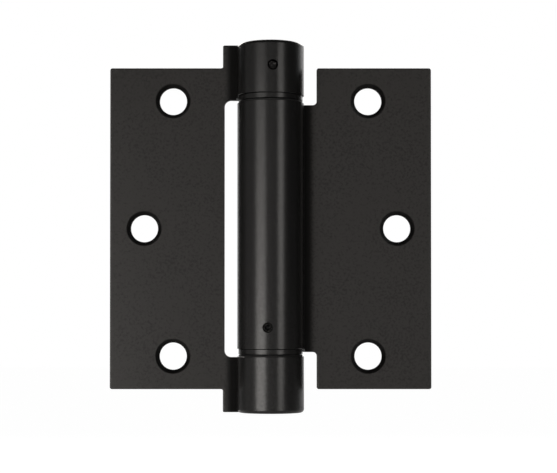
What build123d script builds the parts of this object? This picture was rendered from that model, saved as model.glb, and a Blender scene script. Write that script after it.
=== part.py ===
from build123d import *
from math import asin, atan2, cos, degrees, radians, sin, sqrt, tan
import os

# Square-cornered spring hinge, laid open flat, in millimetres.
# The pin axis is Z and the origin is at its middle. X runs across the two open leaves,
# the barrel bulges towards -Y on the face side, and the backs of the leaves face +Y.
# The frame leaf is on the left and carries the two end knuckles. The door leaf is on the
# right and carries the long centre knuckle, which is also the housing of the spring.

# Leaves, stamped from one gauge of sheet steel
leaf_height = 88.9
open_width = 88.9
plate = 2.4
leaf_setback = 0.8
leaf_corner_radius = 0.6
edge_round = 0.35

# Barrel, rolled from the plate of the leaves
barrel_diameter = 18.4
knuckle_overhang = 6.35
knuckle_end_round = 0.9
knuckle_face_break = 0.1
tab_length = 15.2
top_face_trim = 0.9
bottom_face_reach = 0.2
curl_bend_radius = 1.8
curl_seam_gap = 0.3
facing_overcut = 0.3

# Cut-outs beside the barrel
cutout_reach = 12.75
tab_web_gap = 1.4
tab_step = 0.45
tab_corner_radius = 0.4
tab_inner_radius = 0.5
slot_corner_radius = 1.8
notch_corner_radius = 1.1

# Countersunk screw holes, the middle one set further out
screw_hole_diameter = 7.55
countersink_diameter = 9.8
countersink_angle = 82
outer_hole_spacing = 70.7
outer_hole_reach = 27.0
middle_hole_reach = 35.0

# Clearances
seat_clearance = 0.02
running_clearance = 0.05
axial_play = 0.1
washer_bore_clearance = 0.3
spring_clearance = 0.15
head_clearance = 0.3

# Bearing stack at each end of the centre knuckle
collar_inset = 0.35
collar_thickness = 1.55
collar_bevel = 0.15
washer_inset = 0.85
washer_thickness = 0.45
journal_diameter = 9.2
flanged_bush_sleeve = 3.65
tube_bush_length = 7.0
bottom_bush_length = 11.0

# Tension cylinder in the top knuckle, with its hex socket and its ring of pin holes
cylinder_recess = 0.65
rim_bevel = 0.4
hex_across_flats = 4.8
hex_depth = 6.5
tension_hole_count = 6
tension_hole_depth = 3.1
skirt_diameter = 7.4
skirt_length = 4.5
rod_socket_depth = 2.7

# Tension pin, drawn out to free the cylinder
tension_pin_diameter = 2.76
tension_pin_drop = 6.9
tension_pin_azimuth = 4.1
tension_pin_recess = 0.75
tension_pin_tip_gap = 0.1

# Torsion spring
wire_diameter = 2.2
coil_outer_diameter = 12.4
coil_pitch = 2.6
tang_tip_radius = 2.9
tang_slot_clearance = 0.15
lower_tang_angle = 40

# Guide rod inside the spring
rod_diameter = 5.0
rod_seat_depth = 3.9
rod_end_gap = 0.8

# Spring anchor pinned in the bottom of the centre knuckle
anchor_length = 12.5
anchor_boss_diameter = 7.4
anchor_boss_length = 3.5
anchor_pin_diameter = 2.8
anchor_pin_wall = 0.5
anchor_pin_slit = 0.5
anchor_pin_recess = 0.45
anchor_pin_azimuth = -4.9
anchor_pin_rise = 5.85

# Bottom pintle, pressed up through the bottom bush into the anchor
pintle_head_recess = 0.9
pintle_spigot_diameter = 6.0
pintle_spigot_length = 5.0
pintle_spigot_end_gap = 0.4

# What follows from those sizes
outer_radius = barrel_diameter / 2
bore_radius = outer_radius - plate
middle_radius = outer_radius - plate / 2
leaf_middle_y = leaf_setback + plate / 2
bend_middle_radius = curl_bend_radius + plate / 2
bend_centre_y = leaf_middle_y + bend_middle_radius
bend_centre_x = -sqrt((middle_radius + bend_middle_radius) ** 2 - bend_centre_y ** 2)
curl_start_angle = degrees(atan2(bend_centre_y, bend_centre_x))
curl_end_angle = 180 - degrees(asin((leaf_setback - curl_seam_gap) / outer_radius))

barrel_end = leaf_height / 2 + knuckle_overhang
tab_reach = cutout_reach + tab_step
tab_edge = barrel_end - tab_length
web_edge = tab_edge - tab_web_gap
bearing_stack = collar_thickness + washer_thickness + axial_play
top_knuckle_face = tab_edge + top_face_trim
tube_top = top_knuckle_face - bearing_stack
bottom_knuckle_face = -tab_edge + bottom_face_reach
tube_bottom = bottom_knuckle_face + bearing_stack
tension_pin_height = barrel_end - tension_pin_drop
anchor_pin_height = tube_bottom + anchor_pin_rise

journal_radius = journal_diameter / 2
journal_bore_radius = journal_radius + running_clearance
wire_radius = wire_diameter / 2
coil_radius = coil_outer_diameter / 2 - wire_radius
rod_radius = rod_diameter / 2
skirt_radius = skirt_diameter / 2
pressed_radius = bore_radius - seat_clearance
collar_radius = outer_radius - collar_inset

journal_end = tube_top - tube_bush_length - 1.0
skirt_end = journal_end - skirt_length
cylinder_seat = top_knuckle_face + flanged_bush_sleeve
anchor_top = tube_bottom + anchor_length
coil_top = journal_end - spring_clearance - wire_radius
coil_bottom = anchor_top + spring_clearance + wire_radius
coil_turns = (coil_top - coil_bottom) / coil_pitch
upper_tang_angle = lower_tang_angle + 360 * coil_turns
tang_slot_width = wire_diameter + 2 * tang_slot_clearance
tension_hole_radius = tension_pin_diameter / 2 + running_clearance
anchor_hole_radius = anchor_pin_diameter / 2


def turned(radius, low, high):
    """A turned length of bar on the pin axis, from one height to another."""
    return Pos(0, 0, low) * Cylinder(radius, high - low, align=(Align.CENTER, Align.CENTER, Align.MIN))


def sleeve(outer, inner, low, high):
    """A turned ring on the pin axis."""
    return turned(outer, low, high) - turned(inner, low, high)


def rims(piece, radius):
    """The full circles of one radius on a turned piece."""
    circles = piece.edges().filter_by(GeomType.CIRCLE)
    return [edge for edge in circles if abs(edge.radius - radius) < 1e-4]


def radial_bar(radius, azimuth, height, near, far):
    """A round bar square to the pin axis, counted from the front and turned to the right."""
    out = Vector(sin(radians(azimuth)), -cos(radians(azimuth)), 0)
    start = Vector(0, 0, height) + out * near
    return Plane(origin=start, z_dir=out) * Cylinder(
        radius, far - near, align=(Align.CENTER, Align.CENTER, Align.MIN)
    )


def slot_at(angle, width, reach, low, high):
    """A slot from the pin axis outwards in one direction, to be cut for a spring's tang."""
    block = Box(reach, width, high - low, align=(Align.MIN, Align.CENTER, Align.MIN))
    return Rot(0, 0, angle) * Pos(0, 0, low) * block


def round_corners(outline, corners, radius):
    """Round the outline at the given corners."""
    picked = [
        vertex
        for vertex in outline.vertices()
        if any(abs(vertex.X - x) + abs(vertex.Y - z) < 1e-4 for x, z in corners)
    ]
    return fillet(picked, radius)


def rectangle(left, right, low, high):
    """A rectangle in the plane of a leaf, between two sides and two heights."""
    return Pos((left + right) / 2, (low + high) / 2) * Rectangle(right - left, high - low)


def mirrored_heights(x, z):
    """One corner and its twin below the middle of the hinge."""
    return [(x, z), (x, -z)]


def bend_section(low, high):
    """Section of the plate where it is bent back from the leaf."""
    return Plane.XZ * Pos(bend_middle_radius, (low + high) / 2) * RectangleRounded(
        plate, high - low, edge_round
    )


def ring_section(low, high):
    """Section of a knuckle's ring, well rounded at a free end of the barrel and turned true elsewhere."""
    section = rectangle(bore_radius, outer_radius, low, high)
    for height in (low, high):
        free_end = abs(height) > barrel_end - edge_round
        outer_round = knuckle_end_round if free_end else knuckle_face_break
        inner_round = edge_round if free_end else knuckle_face_break
        section = round_corners(section, [(outer_radius, height)], outer_round)
        section = round_corners(section, [(bore_radius, height)], inner_round)
    return Plane.XZ * section


def rolled_knuckle(strip, faces):
    """A strip of plate bent back from the leaf and rolled round the pin axis, between two turned faces."""
    wrap = 360 - curl_end_angle + curl_start_angle
    ring = revolve(ring_section(*faces), Axis.Z, wrap)
    ring = Rot(0, 0, curl_end_angle) * ring
    bend = revolve(bend_section(*strip), Axis.Z, curl_start_angle - 90)
    bend = Pos(bend_centre_x, bend_centre_y, 0) * Rot(0, 0, -90) * bend
    if faces[0] > strip[0]:
        bend -= facing_cut(strip[0] - 1, faces[0])
    if faces[1] < strip[1]:
        bend -= facing_cut(faces[1], strip[1] + 1)
    return ring + bend


def pressed_plate(outline):
    """The flat plate of a leaf, with the edges of both faces rounded except at the knuckles."""
    back = Plane(origin=(0, leaf_setback + plate, 0), x_dir=(1, 0, 0), z_dir=(0, -1, 0))
    blank = extrude(back * outline, plate)
    faces = blank.faces().sort_by(Axis.Y)
    edges = faces[0].outer_wire().edges() + faces[-1].outer_wire().edges()
    free = [edge for edge in edges if abs((edge @ 0.5).X - bend_centre_x) > 1e-3]
    return fillet(free, edge_round)


def screw_holes():
    """Three countersunk holes, with their wide ends on the front face."""
    front = Plane(origin=(0, leaf_setback, 0), x_dir=(1, 0, 0), z_dir=(0, -1, 0))
    centres = mirrored_heights(-outer_hole_reach, outer_hole_spacing / 2) + [(-middle_hole_reach, 0)]
    hole = CounterSinkHole(
        screw_hole_diameter / 2, countersink_diameter / 2, plate, countersink_angle
    )
    return [front * Pos(x, z) * hole for x, z in centres]


def facing_cut(low, high):
    """What the facing tool takes off the inner end of a knuckle."""
    return turned(outer_radius + facing_overcut, low, high)


def make_frame_leaf():
    side = -open_width / 2
    top = leaf_height / 2
    outline = rectangle(side, -cutout_reach, -top, top)
    for low, high in ((tab_edge, barrel_end), (-barrel_end, -tab_edge)):
        outline += rectangle(-tab_reach, bend_centre_x, low, high)
    outline = round_corners(outline, mirrored_heights(side, top), leaf_corner_radius)
    outline = round_corners(outline, mirrored_heights(-tab_reach, top), tab_inner_radius)
    outline = round_corners(outline, mirrored_heights(-tab_reach, barrel_end), tab_corner_radius)
    outline = round_corners(outline, mirrored_heights(-cutout_reach, tab_edge), slot_corner_radius)
    leaf = pressed_plate(outline) - screw_holes()
    leaf += rolled_knuckle((tab_edge, barrel_end), (top_knuckle_face, barrel_end))
    leaf += rolled_knuckle((-barrel_end, -tab_edge), (-barrel_end, bottom_knuckle_face))
    hole = radial_bar(
        tension_hole_radius, tension_pin_azimuth, tension_pin_height, bore_radius - 1, outer_radius + 1
    )
    return leaf - hole


def make_door_leaf():
    side = -open_width / 2
    top = leaf_height / 2
    outline = rectangle(side, -cutout_reach, -top, top)
    outline += rectangle(-cutout_reach - 1, bend_centre_x, -web_edge, web_edge)
    outline = round_corners(outline, mirrored_heights(side, top), leaf_corner_radius)
    outline = round_corners(outline, mirrored_heights(-cutout_reach, top), leaf_corner_radius)
    outline = round_corners(outline, mirrored_heights(-cutout_reach, web_edge), notch_corner_radius)
    leaf = pressed_plate(outline) - screw_holes()
    leaf += rolled_knuckle((-web_edge, web_edge), (tube_bottom, tube_top))
    leaf = mirror(leaf, about=Plane.YZ)
    return leaf - radial_bar(
        anchor_hole_radius, anchor_pin_azimuth, anchor_pin_height, -outer_radius - 1, outer_radius + 1
    )


def make_flanged_bush():
    flange = turned(collar_radius, top_knuckle_face - collar_thickness, top_knuckle_face)
    flange = chamfer(rims(flange, collar_radius), collar_bevel)
    bush = flange + turned(pressed_radius, top_knuckle_face, cylinder_seat)
    low = top_knuckle_face - collar_thickness - 1
    return bush - turned(journal_bore_radius, low, cylinder_seat + 1)


def make_tension_cylinder():
    top = barrel_end - cylinder_recess
    head = turned(bore_radius - running_clearance, cylinder_seat, top)
    head = chamfer(rims(head, bore_radius - running_clearance), rim_bevel)
    cylinder = head + turned(journal_radius, journal_end, cylinder_seat + 1)
    cylinder += turned(skirt_radius, skirt_end, journal_end + 1)
    hexagon = RegularPolygon(hex_across_flats / 2, 6, major_radius=False)
    cylinder -= extrude(Pos(0, 0, top - hex_depth) * hexagon, hex_depth + 1)
    cylinder -= turned(rod_radius + running_clearance, skirt_end - 1, skirt_end + rod_socket_depth)
    cylinder -= slot_at(upper_tang_angle, tang_slot_width, skirt_radius + 1, skirt_end - 1, journal_end)
    far = bore_radius + 1
    near = bore_radius - tension_hole_depth
    for step in range(tension_hole_count):
        azimuth = tension_pin_azimuth + 360 * step / tension_hole_count
        cylinder -= radial_bar(tension_hole_radius, azimuth, tension_pin_height, near, far)
    return cylinder


def make_tension_pin():
    near = bore_radius - tension_hole_depth + tension_pin_tip_gap
    far = outer_radius - tension_pin_recess
    pin = radial_bar(
        tension_pin_diameter / 2, tension_pin_azimuth, tension_pin_height, near, far
    )
    return chamfer(rims(pin, tension_pin_diameter / 2), rim_bevel)


def make_thrust_washer(low):
    bore = journal_radius + washer_bore_clearance
    return sleeve(outer_radius - washer_inset, bore, low, low + washer_thickness)


def make_tube_bush():
    return sleeve(pressed_radius, journal_bore_radius, tube_top - tube_bush_length, tube_top)


def make_bottom_bush():
    low = bottom_knuckle_face - bottom_bush_length
    return sleeve(pressed_radius, journal_bore_radius, low, bottom_knuckle_face)


def make_torsion_spring():
    start = Rot(0, 0, lower_tang_angle) * Pos(coil_radius, 0, coil_bottom)
    coil_path = Rot(0, 0, lower_tang_angle) * Pos(0, 0, coil_bottom) * Helix(
        coil_pitch, coil_top - coil_bottom, coil_radius
    )
    section = Plane(origin=coil_path @ 0, z_dir=coil_path % 0) * Circle(wire_radius)
    spring = sweep(section, path=coil_path, is_frenet=True)
    for angle, height in ((lower_tang_angle, coil_bottom), (upper_tang_angle, coil_top)):
        tang = Plane(origin=(0, 0, height), z_dir=(cos(radians(angle)), sin(radians(angle)), 0))
        wire = Cylinder(
            wire_radius, coil_radius - tang_tip_radius, align=(Align.CENTER, Align.CENTER, Align.MIN)
        )
        spring += tang * Pos(0, 0, tang_tip_radius) * wire
        spring += tang * Pos(0, 0, coil_radius) * Sphere(wire_radius)
    return spring


def make_guide_rod():
    low = anchor_top - rod_seat_depth
    high = skirt_end + rod_socket_depth - rod_end_gap
    rod = turned(rod_radius, low, high)
    return chamfer(rims(rod, rod_radius), rim_bevel)


def make_spring_anchor():
    flange = turned(collar_radius, tube_bottom - collar_thickness, tube_bottom)
    flange = chamfer(rims(flange, collar_radius), collar_bevel)
    anchor = flange + turned(pressed_radius, tube_bottom, anchor_top)
    boss_top = anchor_top + anchor_boss_length
    anchor += turned(anchor_boss_diameter / 2, anchor_top - 1, boss_top)
    anchor -= turned(rod_radius + seat_clearance, anchor_top - rod_seat_depth, boss_top + 1)
    spigot_bore = pintle_spigot_length + pintle_spigot_end_gap
    low = tube_bottom - collar_thickness
    anchor -= turned(pintle_spigot_diameter / 2, low - 1, low + spigot_bore)
    anchor -= slot_at(
        lower_tang_angle, tang_slot_width, anchor_boss_diameter / 2 + 1, anchor_top, boss_top + 1
    )
    return anchor - radial_bar(
        anchor_hole_radius, anchor_pin_azimuth, anchor_pin_height, -outer_radius, outer_radius
    )


def make_anchor_pin():
    reach = outer_radius - anchor_pin_recess
    outer = anchor_hole_radius - seat_clearance
    pin = radial_bar(outer, anchor_pin_azimuth, anchor_pin_height, -reach, reach)
    pin = chamfer(rims(pin, outer), anchor_pin_wall / 2)
    pin -= radial_bar(
        outer - anchor_pin_wall, anchor_pin_azimuth, anchor_pin_height, -reach - 1, reach + 1
    )
    slit = Box(2 * reach, 2 * reach, anchor_pin_slit, align=(Align.MIN, Align.CENTER, Align.CENTER))
    slit = Pos(0, 0, anchor_pin_height) * Rot(0, 0, anchor_pin_azimuth) * slit
    return pin - slit


def make_bottom_pintle():
    shoulder = tube_bottom - collar_thickness
    head_low = -barrel_end + pintle_head_recess
    head_high = bottom_knuckle_face - bottom_bush_length - head_clearance
    head_radius = bore_radius - head_clearance
    head = turned(head_radius, head_low, head_high)
    head = chamfer(rims(head, head_radius), rim_bevel)
    pintle = head + turned(journal_radius, head_high - 1, shoulder)
    spigot = pintle_spigot_diameter / 2 - seat_clearance
    return pintle + turned(spigot, shoulder - 1, shoulder + pintle_spigot_length)


parts = {
    "frame_leaf": make_frame_leaf(),
    "door_leaf": make_door_leaf(),
    "flanged_bush": make_flanged_bush(),
    "tension_cylinder": make_tension_cylinder(),
    "tension_pin": make_tension_pin(),
    "top_thrust_washer": make_thrust_washer(tube_top),
    "tube_bush": make_tube_bush(),
    "torsion_spring": make_torsion_spring(),
    "guide_rod": make_guide_rod(),
    "spring_anchor": make_spring_anchor(),
    "anchor_pin": make_anchor_pin(),
    "bottom_thrust_washer": make_thrust_washer(bottom_knuckle_face),
    "bottom_bush": make_bottom_bush(),
    "bottom_pintle": make_bottom_pintle(),
}

os.makedirs("parts", exist_ok=True)
for name, solid in parts.items():
    export_step(solid, f"parts/{name}.step")
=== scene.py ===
from math import asin, cos, pi, radians, sin

import bmesh
import bpy
from mathutils import Matrix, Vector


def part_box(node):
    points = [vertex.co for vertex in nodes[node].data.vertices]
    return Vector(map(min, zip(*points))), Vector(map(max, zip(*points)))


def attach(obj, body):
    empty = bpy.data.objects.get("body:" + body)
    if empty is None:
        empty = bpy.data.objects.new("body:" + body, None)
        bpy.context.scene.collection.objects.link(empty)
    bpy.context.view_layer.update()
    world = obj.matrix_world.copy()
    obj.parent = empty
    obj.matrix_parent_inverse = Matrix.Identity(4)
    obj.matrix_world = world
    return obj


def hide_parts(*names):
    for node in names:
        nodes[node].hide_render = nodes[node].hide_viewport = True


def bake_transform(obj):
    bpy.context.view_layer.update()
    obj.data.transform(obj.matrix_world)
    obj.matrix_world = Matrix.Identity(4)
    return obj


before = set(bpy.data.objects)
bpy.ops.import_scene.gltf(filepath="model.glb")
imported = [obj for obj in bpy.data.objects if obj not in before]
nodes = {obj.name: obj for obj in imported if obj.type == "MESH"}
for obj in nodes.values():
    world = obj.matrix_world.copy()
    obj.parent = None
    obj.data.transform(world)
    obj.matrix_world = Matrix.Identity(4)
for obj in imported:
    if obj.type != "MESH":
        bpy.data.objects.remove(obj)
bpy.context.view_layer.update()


# The two leaves are stamped and rolled steel plate, one with the end knuckles and one with the
# long centre knuckle. Both are dipped in a satin black coat that dries warm and faintly pebbled.
# The barrel and knuckles take a far darker base than the flat plate. Painted shade darkens the
# root of a knuckle, a countersink and its bore and the middle of a cut edge, in base colour and
# in gloss, and the coat is duller on a sheared end and on other faces that look up or down.
class Socket:
    """An output in a finish's node tree. Arithmetic on it adds the nodes that work it out."""

    def __init__(self, tree, source=None):
        self.tree = tree
        self.source = source

    def node(self, kind, settings, inputs, output=0):
        made = self.tree.nodes.new(kind)
        for name, setting in settings.items():
            setattr(made, name, setting)
        for name, value in inputs.items():
            if isinstance(value, Socket):
                self.tree.links.new(value.source, made.inputs[name])
            else:
                made.inputs[name].default_value = value
        return None if output is None else Socket(self.tree, made.outputs[output])

    def maths(self, operation, *values):
        return self.node("ShaderNodeMath", {"operation": operation}, dict(enumerate(values)))

    def __add__(self, other):
        return self.maths("ADD", self, other)

    def __radd__(self, other):
        return self.maths("ADD", other, self)

    def __sub__(self, other):
        return self.maths("SUBTRACT", self, other)

    def __rsub__(self, other):
        return self.maths("SUBTRACT", other, self)

    def __mul__(self, other):
        return self.maths("MULTIPLY", self, other)

    def __rmul__(self, other):
        return self.maths("MULTIPLY", other, self)

    def __abs__(self):
        return self.maths("ABSOLUTE", self)

    def along(self, axis):
        """The part of a place or direction that lies along X, Y or Z."""
        return self.node("ShaderNodeSeparateXYZ", {}, {"Vector": self}, axis)

    def between(self, low, high):
        """0 up to low, 1 from high on, and smooth in between."""
        return self.node(
            "ShaderNodeMapRange",
            {"interpolation_type": "SMOOTHSTEP"},
            {"Value": self, "From Min": low, "From Max": high},
        )


def new_finish(name):
    """An empty finish: its material, a socket to start from and a point's place on the piece."""
    material = bpy.data.materials.new(name)
    material.use_nodes = True
    material.node_tree.nodes.clear()
    start = Socket(material.node_tree)
    return material, start, start.node("ShaderNodeTexCoord", {}, {}, "Object")


def noise(place, cells_per_metre, detail, roughness=0.5):
    return place.node(
        "ShaderNodeTexNoise",
        {"noise_dimensions": "3D"},
        {"Vector": place, "Scale": cells_per_metre, "Detail": detail, "Roughness": roughness},
        "Fac",
    )


def tinted(amount, dark, light):
    """A colour from dark to light, by an amount from 0 to 1."""
    dark_input, light_input, colour_output = 6, 7, 2
    return amount.node(
        "ShaderNodeMix",
        {"data_type": "RGBA"},
        {"Factor": amount, dark_input: (*dark, 1), light_input: (*light, 1)},
        colour_output,
    )


def bumped(start, height, depth):
    return start.node("ShaderNodeBump", {}, {"Strength": 1.0, "Distance": depth, "Height": height})


def close_finish(start, material, inputs):
    shader = start.node("ShaderNodeBsdfPrincipled", {}, inputs)
    start.node("ShaderNodeOutputMaterial", {}, {"Surface": shader}, output=None)
    return material


def satin_coat():
    # The darker colour is the base of the barrel and knuckles, and of the painted shade.
    barrel_and_shade_coat = (0.0022, 0.0020, 0.0018)
    flat_coat = (0.0190, 0.0175, 0.0160)
    # Painted shade: a dark band beside the barrel, in base colour and in gloss, set by these
    # ranges.
    root_shade_begins = (0.0088, 0.0097)
    root_shade_ends = (0.0106, 0.0128)
    unshaded_plate_begins = (0.0107, 0.0128)
    unshaded_plate_shift = 0.0005
    sink_shade_begins = (0.00085, 0.0012)
    back_begins = (0.0030, 0.0032)
    end_begins = (0.75, 0.97)
    mottle_begins = (0.32, 0.68)
    root_shade_loss, sink_shade_loss, end_loss = 0.93, 0.6, 0.8
    pebble_height = 0.000012
    material, start, place = new_finish("satin_black_coat")
    clouds = noise(place, 70, 3)
    pebbles = noise(place, 1500, 2)
    specks = noise(place, 5200, 1)
    mottle = (0.2 * clouds + 0.55 * pebbles + 0.25 * specks).between(*mottle_begins)
    across = place.along("X")
    depth = place.along("Y")
    facing = start.node("ShaderNodeNewGeometry", {}, {}, "Normal")
    # Painted shade in the countersinks, bores and cut edges, and in the band beside the barrel.
    sink_shade = depth.between(*sink_shade_begins) * (1.0 - depth.between(*back_begins))
    unshaded_plate = abs(across + unshaded_plate_shift).between(*unshaded_plate_begins) * (1.0 - sink_shade)
    root_shade = abs(across).between(*root_shade_begins) * (1.0 - abs(across).between(*root_shade_ends))
    end = abs(facing.along("Z")).between(*end_begins)
    gloss_and_shade = (1.0 - root_shade_loss * root_shade) * (1.0 - sink_shade_loss * sink_shade) * (1.0 - end_loss * end)
    return close_finish(start, material, {
        "Base Color": tinted(unshaded_plate * (0.5 + mottle), barrel_and_shade_coat, flat_coat),
        "Roughness": 0.45 + 0.1 * pebbles,
        "Specular IOR Level": 0.08,
        "Coat Weight": gloss_and_shade * (0.55 + 0.75 * pebbles),
        "Coat Roughness": 0.27,
        "Normal": bumped(start, pebbles + 0.5 * specks, pebble_height),
    })


def coat(piece, material):
    piece.data.materials.clear()
    piece.data.materials.append(material)


black_coat = satin_coat()
for name in ("frame_leaf", "door_leaf"):
    coat(nodes[name], black_coat)


# The flanged bush and the spring anchor show as narrow bands in the two gaps. The tension
# cylinder closes the barrel's top and the pintle's head its foot. All four are turned steel
# that is pressed or dropped into the barrel, in the same coat as the leaves.
for name in ("flanged_bush", "spring_anchor", "tension_cylinder", "bottom_pintle"):
    coat(nodes[name], black_coat)


# The thrust washers are punched from black nylon sheet. They lie in the two gaps between the
# knuckles, a little in from the barrel's surface, and only their rims can be seen.
washer_bore = 0.0049
washer_rim = 0.00882
washer_rim_round = 0.00012
washer_sides = 96
weld = 0.000001
tolerance = 0.00001
flat_normal = 0.99


def nylon():
    haze_height = 0.00001
    material, start, place = new_finish("black_nylon")
    haze = noise(place, 2500, 2)
    return close_finish(start, material, {
        "Base Color": tinted(haze, (0.004, 0.004, 0.004), (0.009, 0.009, 0.009)),
        "Roughness": 0.55 + 0.15 * haze,
        "Normal": bumped(start, haze, haze_height),
    })


def washer_ring(low, high):
    mesh = bmesh.new()
    section = [(washer_bore, low), (washer_rim, low), (washer_rim, high), (washer_bore, high)]
    corners = [mesh.verts.new((radius, 0, height)) for radius, height in section]
    sides = [mesh.edges.new(pair) for pair in zip(corners, corners[1:] + corners[:1])]
    bmesh.ops.spin(
        mesh, geom=corners + sides, axis=(0, 0, 1), cent=(0, 0, 0), angle=2 * pi,
        steps=washer_sides, use_merge=True,
    )
    bmesh.ops.remove_doubles(mesh, verts=mesh.verts, dist=weld)
    bmesh.ops.recalc_face_normals(mesh, faces=mesh.faces)
    rims = []
    for edge in mesh.edges:
        first, second = [vertex.co for vertex in edge.verts]
        outside = min(first.xy.length, second.xy.length) > washer_rim - tolerance
        if outside and abs(first.z - second.z) < tolerance:
            rims.append(edge)
    bmesh.ops.bevel(
        mesh, geom=rims, offset=washer_rim_round, segments=3, profile=0.5, affect="EDGES",
        material=-1,
    )
    for face in mesh.faces:
        face.smooth = abs(face.normal.z) < flat_normal
    return mesh


def finished_piece(name, mesh, material):
    """A piece in its finish, made from a mesh that lies where the piece does."""
    data = bpy.data.meshes.new(name)
    mesh.to_mesh(data)
    mesh.free()
    piece = bpy.data.objects.new(name, data)
    bpy.context.scene.collection.objects.link(piece)
    coat(piece, material)
    return piece


washer_nylon = nylon()
for name, solid_name, body in (
    ("top_nylon_washer", "top_thrust_washer", "door"),
    ("bottom_nylon_washer", "bottom_thrust_washer", "frame"),
):
    lowest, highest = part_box(solid_name)
    washer = finished_piece(name, washer_ring(lowest[2], highest[2]), washer_nylon)
    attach(washer, body)
    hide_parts(solid_name)


# The bushes pressed into the barrel are turned from bronze, with fine rings from the lathe
# and a film of oil. They show only where the cylinder or the pintle is drawn out.
def stretched(place, scale):
    return place.node("ShaderNodeMapping", {}, {"Vector": place, "Scale": scale})


def turned_metal(name, dark, light, roughness):
    ring_height = 0.000008
    material, start, place = new_finish(name)
    rings = noise(stretched(place, (1.0, 1.0, 60.0)), 220, 2)
    stains = noise(place, 180, 3)
    return close_finish(start, material, {
        "Base Color": tinted(stains, dark, light),
        "Metallic": 1.0,
        "Roughness": roughness + 0.15 * rings,
        "Normal": bumped(start, rings, ring_height),
    })


bronze = turned_metal("oiled_bronze", (0.30, 0.17, 0.07), (0.46, 0.29, 0.13), 0.28)
for name in ("tube_bush", "bottom_bush"):
    coat(nodes[name], bronze)


# The guide rod is ground bar, pressed into the spring anchor. It keeps the coil straight and
# runs free in the tension cylinder at its other end.
ground_steel = turned_metal("ground_steel", (0.36, 0.36, 0.37), (0.52, 0.52, 0.53), 0.22)
coat(nodes["guide_rod"], ground_steel)


# The tension pin and the slotted anchor pin are blackened steel. The tension pin's cut end,
# which lies just inside its hole, is rubbed to grey in places, and the anchor pin stays black.
def blackened_steel(name, rubbed):
    blackened = (0.010, 0.0097, 0.0094)
    rub_begins = (0.52, 0.64)
    scratch_height = 0.00002
    material, start, place = new_finish(name)
    rub = noise(place, 1400, 3, 0.6)
    scratches = noise(stretched(place, (1.0, 1.0, 14.0)), 700, 2)
    return close_finish(start, material, {
        "Base Color": tinted(rub.between(*rub_begins), blackened, rubbed),
        "Metallic": 0.85,
        "Roughness": 0.34 + 0.2 * scratches,
        "Normal": bumped(start, rub + scratches, scratch_height),
    })


coat(nodes["tension_pin"], blackened_steel("rubbed_black_steel", (0.11, 0.107, 0.104)))
coat(nodes["anchor_pin"], blackened_steel("black_steel", (0.032, 0.031, 0.030)))


# The anchor pin is a rolled sleeve with a slit. The coat runs into its bore and dries as a
# dished skin a little inside each mouth, so nothing shows through the pin.
anchor_azimuth = radians(-4.9)
anchor_height = -0.02745
skin_radius = 0.00092
skin_sides = 32
skin_depth = 0.0052
skin_thickness = 0.0003
skin_dish = 0.0002
dish_steps = ((0.25, 0.3), (0.35, 0.7))


def only(kind, items):
    return [item for item in items if isinstance(item, kind)]


def turn(mesh, angle, axis):
    """Turns a whole mesh about one of the object's axes."""
    matrix = Matrix.Rotation(angle, 3, axis)
    bmesh.ops.rotate(mesh, verts=mesh.verts, cent=(0, 0, 0), matrix=matrix)


def pin_skin(side):
    """A skin across the pin's bore: side is 1 for the mouth in front, -1 for the one behind."""
    mesh = bmesh.new()
    bmesh.ops.create_circle(mesh, radius=skin_radius, segments=skin_sides, cap_ends=True)
    grown = bmesh.ops.extrude_face_region(mesh, geom=mesh.faces[:])["geom"]
    raised = only(bmesh.types.BMVert, grown)
    bmesh.ops.translate(mesh, verts=raised, vec=(0, 0, skin_thickness))
    bmesh.ops.recalc_face_normals(mesh, faces=mesh.faces)
    caps = [face for face in mesh.faces if face.normal.z > flat_normal]
    for inset, drop in dish_steps:
        bmesh.ops.inset_region(
            mesh, faces=caps, thickness=inset * skin_radius, depth=-drop * skin_dish
        )
    bmesh.ops.translate(mesh, verts=mesh.verts, vec=(0, 0, skin_depth))
    turn(mesh, side * pi / 2, "X")
    turn(mesh, anchor_azimuth, "Z")
    bmesh.ops.translate(mesh, verts=mesh.verts, vec=(0, 0, anchor_height))
    for face in mesh.faces:
        face.smooth = True
    return mesh


for name, side in (("front_pin_skin", 1), ("rear_pin_skin", -1)):
    skin = finished_piece(name, pin_skin(side), black_coat)
    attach(skin, "door")


# The torsion spring is one length of drawn wire, coiled right-handed, with both ends bent in
# over a former. The lower end sits in the slot of the anchor and the upper one in the slot of
# the tension cylinder, so the coil winds up when the door turns.
wire_radius = 0.0011
wire_sides = 20
wire_end_round = 0.00015
wire_end_corners = 6
coil_radius = 0.0051
bend_radius = 0.0014
tang_tip_radius = 0.0029
coil_bottom = -0.01955
coil_top = 0.02515
coil_pitch = 0.0026
coil_steps = 860
bend_steps = 10
lower_tang = radians(40)
upper_tang = lower_tang + 2 * pi * (coil_top - coil_bottom) / coil_pitch
bend_lead = asin(bend_radius / (coil_radius - bend_radius))
bend_start = (coil_radius - bend_radius) * cos(bend_lead)


def spun(mesh, rim, centre, rise, angle, steps):
    """Carries the wire's open rim on round a centre, and returns the new rim's edges."""
    made = bmesh.ops.spin(
        mesh, geom=rim, cent=centre, axis=(0, 0, 1), dvec=(0, 0, rise / steps), angle=angle,
        steps=steps,
    )
    return only(bmesh.types.BMEdge, made["geom_last"])


def straight(mesh, rim, run):
    """Draws the wire's open rim out along a run, and returns the new rim's edges."""
    made = bmesh.ops.extrude_edge_only(mesh, edges=rim)["geom"]
    bmesh.ops.translate(mesh, verts=only(bmesh.types.BMVert, made), vec=run)
    return only(bmesh.types.BMEdge, made)


def around(radius, angle):
    """A place level with the origin, at a radius and an angle about the pin axis."""
    return (radius * cos(angle), radius * sin(angle), 0)


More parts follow.
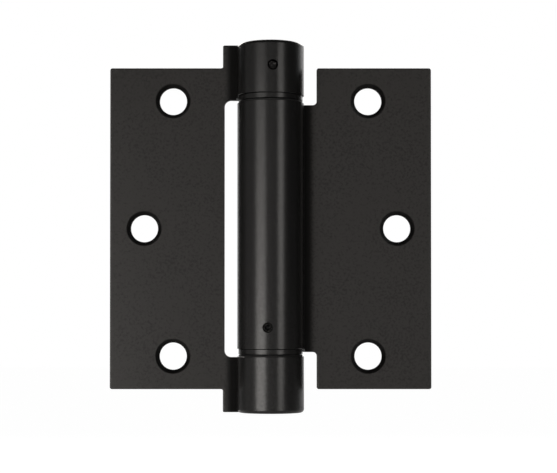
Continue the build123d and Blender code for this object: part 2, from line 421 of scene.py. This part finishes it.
def coiled_wire():
    mesh = bmesh.new()
    leg = bend_start - tang_tip_radius
    hub = coil_radius - bend_radius
    bend = pi / 2 + bend_lead
    first = lower_tang + bend_lead
    last = upper_tang - bend_lead
    bmesh.ops.create_circle(mesh, radius=wire_radius, segments=wire_sides)
    turn(mesh, pi / 2, "Y")
    bmesh.ops.translate(mesh, verts=mesh.verts, vec=(tang_tip_radius, 0, coil_bottom))
    turn(mesh, lower_tang, "Z")
    rim = straight(mesh, mesh.edges[:], around(leg, lower_tang))
    rim = spun(mesh, rim, around(hub, first), 0, bend, bend_steps)
    rim = spun(mesh, rim, (0, 0, 0), coil_top - coil_bottom, last - first, coil_steps)
    rim = spun(mesh, rim, around(hub, last), 0, bend, bend_steps)
    straight(mesh, rim, around(-leg, upper_tang))
    bmesh.ops.remove_doubles(mesh, verts=mesh.verts, dist=weld)
    open_edges = [edge for edge in mesh.edges if edge.is_boundary]
    ends = bmesh.ops.holes_fill(mesh, edges=open_edges, sides=0)["faces"]
    bmesh.ops.recalc_face_normals(mesh, faces=mesh.faces)
    rims = list({edge for face in ends for edge in face.edges})
    bmesh.ops.bevel(
        mesh, geom=rims, offset=wire_end_round, segments=2, profile=0.5, affect="EDGES",
        material=-1,
    )
    for face in mesh.faces:
        face.smooth = len(face.verts) < wire_end_corners
    return mesh


def oiled_wire():
    line_height = 0.000008
    material, start, place = new_finish("oiled_spring_wire")
    oil = noise(place, 260, 3)
    draw_lines = noise(stretched(place, (1.0, 1.0, 9.0)), 600, 2)
    return close_finish(start, material, {
        "Base Color": tinted(oil, (0.11, 0.105, 0.10), (0.22, 0.215, 0.21)),
        "Metallic": 1.0,
        "Roughness": 0.24 + 0.12 * draw_lines,
        "Normal": bumped(start, draw_lines, line_height),
    })


coil_spring = finished_piece("coil_spring", coiled_wire(), oiled_wire())
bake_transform(coil_spring)
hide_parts("torsion_spring")


# The hinge stands over a pale floor of painted board that runs far back. Only what is behind
# the hinge glows white in its gloss, so the near floor leaves the coat black.
white = (1, 1, 1, 1)
floor_paint = (0.8, 0.8, 0.8, 1)
floor_drop = 0.14
floor_reach = 4.0
floor_glow = 1.09
glow_share = 0.9
glow_begins = (1.0, 4.0)


def light_rays(start):
    kinds = ("Is Camera Ray", "Is Glossy Ray", "Is Transmission Ray")
    return [start.node("ShaderNodeLightPath", {}, {}, kind) for kind in kinds]


def pale_floor():
    material, start, place = new_finish("pale_floor")
    camera_ray, glossy_ray, transmission_ray = light_rays(start)
    behind = place.along("Y").between(*glow_begins)
    seen = camera_ray + transmission_ray + glossy_ray * behind
    paint = start.node("ShaderNodeBsdfDiffuse", {}, {"Color": floor_paint})
    glow = start.node("ShaderNodeEmission", {}, {"Color": white, "Strength": floor_glow})
    mixed = start.node("ShaderNodeMixShader", {}, {0: seen * glow_share, 1: paint, 2: glow})
    start.node("ShaderNodeOutputMaterial", {}, {"Surface": mixed}, output=None)
    return material


board = bmesh.new()
bmesh.ops.create_grid(board, x_segments=1, y_segments=1, size=floor_reach)
bmesh.ops.translate(board, verts=board.verts, vec=(0, 0, -floor_drop))
finished_piece("floor", board, pale_floor())


# Two broad softboxes in front light the hinge from the left, the lower one more, and a slim
# one from the right. The left side, the front and a high place behind have one weak box each,
# for the barrel's flank, the valley between its two streaks of light, and the back.
lamp_tint = (1.0, 0.965, 0.93)


def soft_box(name, azimuth, distance, height, width, length, watts, tip):
    """A softbox at an azimuth from the front, turned right, facing the pin axis, tipped down."""
    data = bpy.data.lights.new(name, "AREA")
    data.shape = "RECTANGLE"
    data.size = width
    data.size_y = length
    data.energy = watts
    data.color = lamp_tint
    lamp = bpy.data.objects.new(name, data)
    bpy.context.scene.collection.objects.link(lamp)
    bearing = radians(azimuth)
    lamp.location = (distance * sin(bearing), -distance * cos(bearing), height)
    lamp.rotation_euler = (pi / 2 - radians(tip), 0, bearing)


for name, azimuth, distance, height, width, length, watts, tip in (
    ("left_low", -33, 0.60, -0.20, 0.36, 0.34, 2.27, 0),
    ("left_high", -33, 0.60, 0.05, 0.36, 0.16, 0.44, 0),
    ("left_side", -74, 0.60, -0.05, 0.50, 0.50, 0.20, 0),
    ("right", 35.5, 0.60, 0.03, 0.19, 0.28, 0.48, 0),
    ("front", 3, 0.60, 0.00, 0.26, 0.60, 0.16, 0),
    ("back_high", 180, 0.90, 0.52, 1.50, 0.40, 9.0, 30),
):
    soft_box(name, azimuth, distance, height, width, length, watts, tip)


# The room is dim in front and white behind, where its wall shows round the hinge and in the
# gloss of the flanks that turn towards it.
wall_direction = (0.2, 0.98, 0.0)
wall_begins = (0.40, 1.1)
room_level = 0.06
world = bpy.data.worlds.new("white_studio")
world.use_nodes = True
bpy.context.scene.world = world
world.node_tree.nodes.clear()
studio = Socket(world.node_tree)
direction = studio.node("ShaderNodeTexCoord", {}, {}, "Generated")
towards_wall = studio.node(
    "ShaderNodeVectorMath",
    {"operation": "DOT_PRODUCT"},
    {0: direction, 1: wall_direction},
    "Value",
)
wall = towards_wall.between(*wall_begins)
camera_ray, glossy_ray, transmission_ray = light_rays(studio)
room = room_level + (1.0 - room_level) * wall
strength = room + (camera_ray + transmission_ray + glossy_ray * wall) * (1.0 - room)
background = studio.node("ShaderNodeBackground", {}, {"Color": white, "Strength": strength})
studio.node("ShaderNodeOutputWorld", {}, {"Surface": background}, output=None)


# The camera stands in front of the side that the barrel shows on, low, with a long lens. The
# rows and columns are counted from the picture's upper left corner.
photo_width = 557
photo_height = 473
pixels_per_metre = 3618
leaf_distance = 0.450
leaf_face_y = 0.0008
horizon_row = 326.0
leaf_centre_column = 270.6
leaf_centre_row = 228.3
tilt = radians(1.0)
nearest_shown = 0.01
camera_data = bpy.data.cameras.new("camera")
camera = bpy.data.objects.new("camera", camera_data)
bpy.context.scene.collection.objects.link(camera)
bpy.context.scene.camera = camera
focal_pixels = pixels_per_metre * leaf_distance
camera_data.sensor_width = 36
camera_data.lens = camera_data.sensor_width * focal_pixels / photo_width
camera_data.shift_y = (horizon_row - photo_height / 2 - focal_pixels * sin(tilt)) / photo_width
camera_data.clip_start = nearest_shown
camera.location = (
    (photo_width / 2 - leaf_centre_column) / pixels_per_metre,
    leaf_face_y - leaf_distance,
    (leaf_centre_row - horizon_row) / pixels_per_metre,
)
camera.rotation_euler = (pi / 2 + tilt, 0, 0)
bpy.context.scene.view_settings.view_transform = "Standard"
